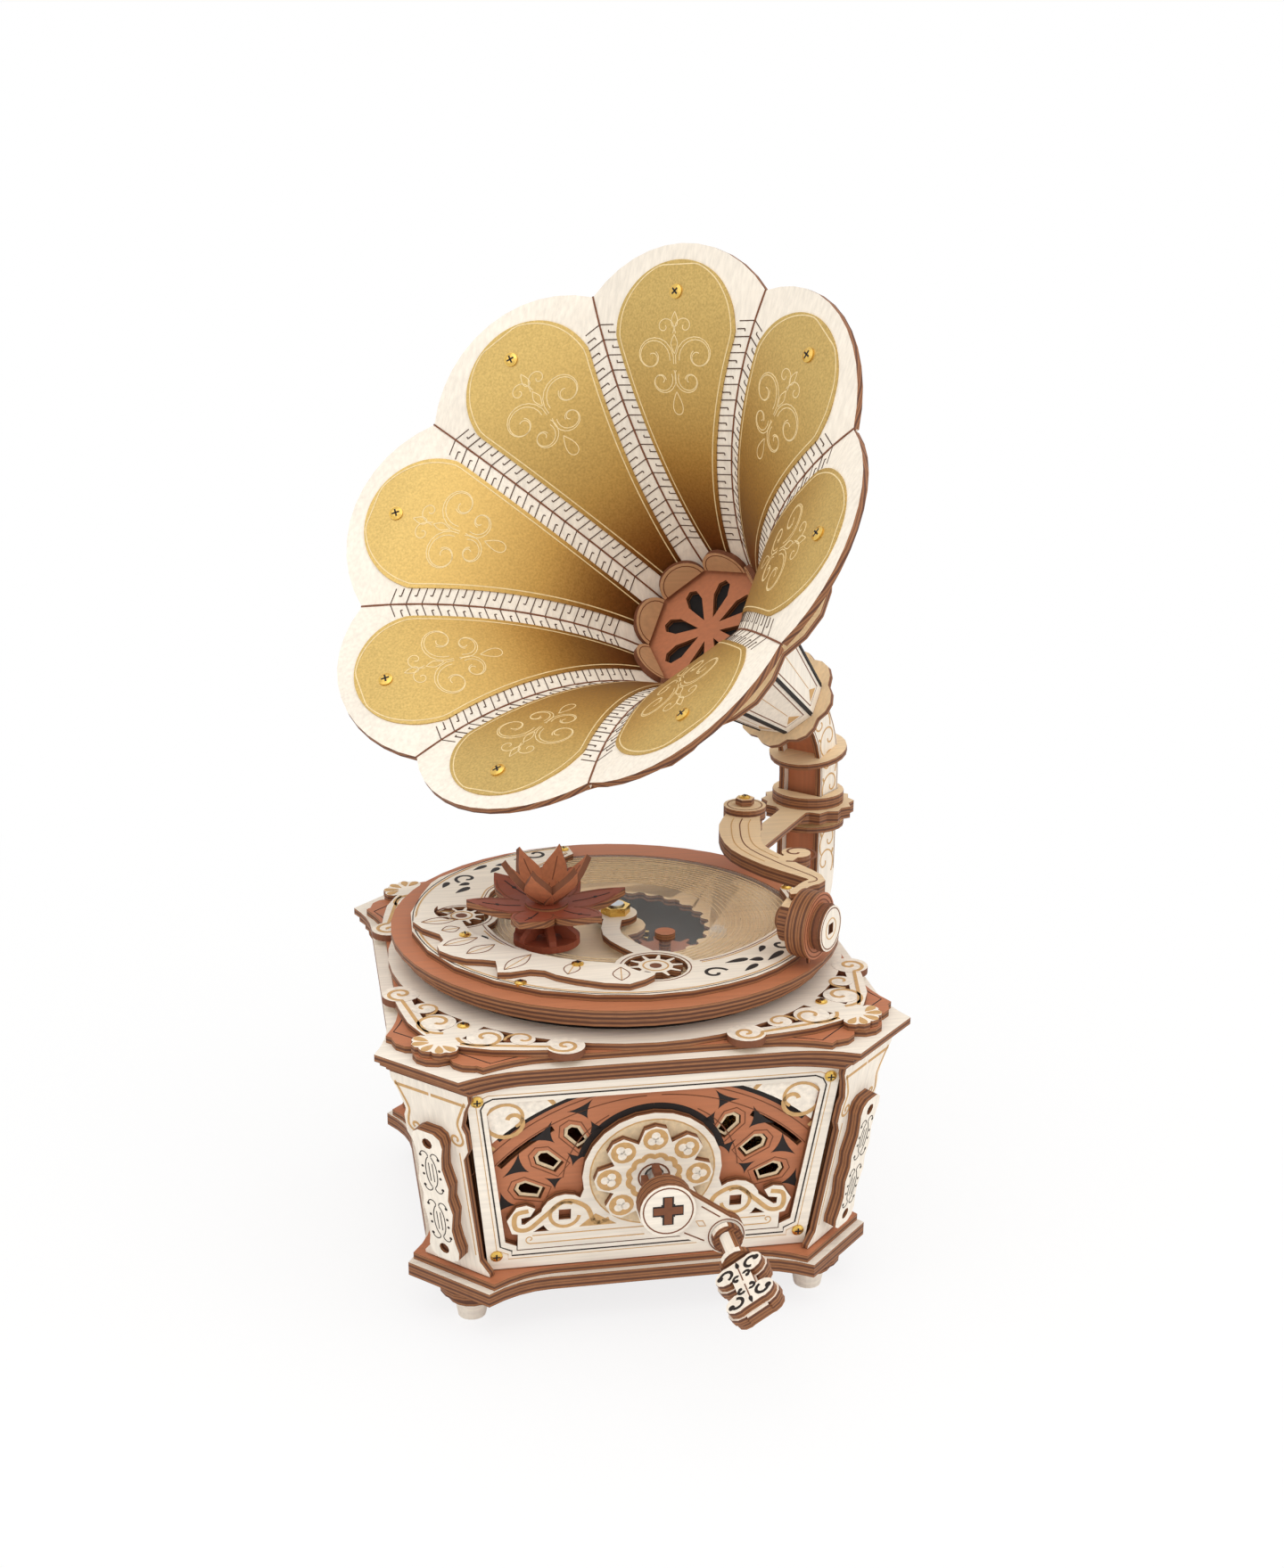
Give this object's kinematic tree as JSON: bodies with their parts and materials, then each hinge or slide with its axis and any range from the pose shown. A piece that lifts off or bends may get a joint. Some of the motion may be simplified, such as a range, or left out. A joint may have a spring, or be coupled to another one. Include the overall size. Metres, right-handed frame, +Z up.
{
  "type": "disc music box",
  "caption": "Hand-cranked disc music box shaped like a small gramophone: chamfered plywood case, geared turntable with a turning flower, swinging tone arm and petalled horn on a curved neck.",
  "frame": {"origin": "centre of the underside of the base plate, 12 mm above the floor that the feet stand on", "axes": "+Z up, -Y towards the side with the hand crank, +X to the right as seen from that side"},
  "size_m": [0.1727, 0.2158, 0.2884],
  "materials": {
    "cream_plywood": "matte, laser-cut edges",
    "tan_plywood": "matte, laser-cut edges",
    "terracotta_plywood": "stained matte",
    "red_brown_plywood": "stained matte",
    "brass": "satin",
    "steel": "brushed",
    "clear_acrylic": "clear, polished"
  },
  "bodies": {
    "case": {"base_under": "red_brown_plywood", "base_plate": "cream_plywood", "base_step": "terracotta_plywood", "foot_front_left": "red_brown_plywood", "foot_front_right": "red_brown_plywood", "foot_back_right": "red_brown_plywood", "foot_back_left": "red_brown_plywood", "front_frame": "cream_plywood", "front_fretwork": "terracotta_plywood", "front_scroll": "cream_plywood", "front_rosette": "cream_plywood", "right_panel": "terracotta_plywood", "back_panel": "terracotta_plywood", "left_panel": "terracotta_plywood", "pilaster_front_right": "cream_plywood", "pilaster_back_right": "cream_plywood", "pilaster_back_left": "cream_plywood", "pilaster_front_left": "cream_plywood", "lid_lower": "terracotta_plywood", "lid_plate": "cream_plywood", "lid_panel": "terracotta_plywood", "lid_ornament": "cream_plywood", "movement_bedplate": "brass", "comb": "steel", "fixed_gear": "brass", "arm_bracket": "tan_plywood", "horn_petal_1": "cream_plywood", "horn_petal_2": "cream_plywood", "horn_petal_3": "cream_plywood", "horn_petal_4": "cream_plywood", "horn_petal_5": "cream_plywood", "horn_petal_6": "cream_plywood", "horn_petal_7": "cream_plywood", "horn_petal_8": "cream_plywood", "horn_frame": "tan_plywood", "throat_ring": "terracotta_plywood", "horn_stem": "cream_plywood", "neck": "cream_plywood"},
    "turntable": {"spindle": "steel", "spindle_gear": "brass", "under_ring": "red_brown_plywood", "deck": "tan_plywood", "platter_ring": "terracotta_plywood", "record": "clear_acrylic", "crescent": "cream_plywood", "leaf_plate": "cream_plywood", "spindle_nut": "brass"},
    "flower": {"flower_stem": "red_brown_plywood", "flower_petals": "red_brown_plywood"},
    "gear_a": {"gear_a": "cream_plywood"},
    "window_gear": {"window_gear": "tan_plywood"},
    "gear_b": {"gear_b": "cream_plywood"},
    "crank": {"crank_shaft": "steel", "crank_gear": "brass", "crank_arm": "cream_plywood"},
    "handle": {"handle_grip": "cream_plywood"},
    "cylinder": {"cylinder": "brass"},
    "governor": {"governor": "brass"},
    "tone_arm": {"tone_arm": "cream_plywood"},
    "sound_box": {"sound_box": "terracotta_plywood"}
  },
  "joints": [
    {"name": "turntable_spin", "type": "hinge", "parent": "case", "child": "turntable", "pos_m": [0, 0, 0.0825], "axis": [0, 0, 1], "continuous": true},
    {"name": "crank_turn", "type": "hinge", "parent": "case", "child": "crank", "pos_m": [0, -0.078, 0.0355], "axis": [0, -1, 0], "continuous": true},
    {"name": "cylinder_spin", "type": "hinge", "parent": "case", "child": "cylinder", "pos_m": [0.02005, -0.018, 0.02528], "axis": [0, -1, 0], "continuous": true},
    {"name": "governor_spin", "type": "hinge", "parent": "case", "child": "governor", "pos_m": [0.0292, -0.018, 0.04584], "axis": [0, -1, 0], "continuous": true},
    {"name": "flower_spin", "type": "hinge", "parent": "turntable", "child": "flower", "pos_m": [-0.02254, -0.01486, 0.0825], "axis": [0, 0, 1], "continuous": true},
    {"name": "gear_a_spin", "type": "hinge", "parent": "turntable", "child": "gear_a", "pos_m": [-0.04514, 0.0037, 0.0825], "axis": [0, 0, 1], "continuous": true},
    {"name": "window_gear_spin", "type": "hinge", "parent": "turntable", "child": "window_gear", "pos_m": [0.0115, -0.01757, 0.0825], "axis": [0, 0, 1], "continuous": true},
    {"name": "gear_b_spin", "type": "hinge", "parent": "turntable", "child": "gear_b", "pos_m": [0.00404, -0.04196, 0.0825], "axis": [0, 0, 1], "continuous": true},
    {"name": "handle_spin", "type": "hinge", "parent": "crank", "child": "handle", "pos_m": [0.01637, -0.092, 0.02547], "axis": [0, -1, 0], "continuous": true},
    {"name": "tone_arm_swing", "type": "hinge", "parent": "case", "child": "tone_arm", "pos_m": [0.0465, 0.033, 0.1038], "axis": [0, 0, 1], "range_deg": [0, 40]},
    {"name": "sound_box_tilt", "type": "hinge", "parent": "tone_arm", "child": "sound_box", "pos_m": [0.04748, -0.04216, 0.0976], "axis": [0.7478, -0.6639, 0], "range_deg": [-15, 60]}
  ],
  "couplings": [
    {"joint": "crank_turn", "follows": "turntable_spin", "ratio": -1.5},
    {"joint": "cylinder_spin", "follows": "turntable_spin", "ratio": 0.75},
    {"joint": "governor_spin", "follows": "turntable_spin", "ratio": -1.5},
    {"joint": "flower_spin", "follows": "turntable_spin", "ratio": 0.5},
    {"joint": "gear_a_spin", "follows": "turntable_spin", "ratio": -0.8},
    {"joint": "window_gear_spin", "follows": "turntable_spin", "ratio": 0.75},
    {"joint": "gear_b_spin", "follows": "turntable_spin", "ratio": -0.66667}
  ]
}
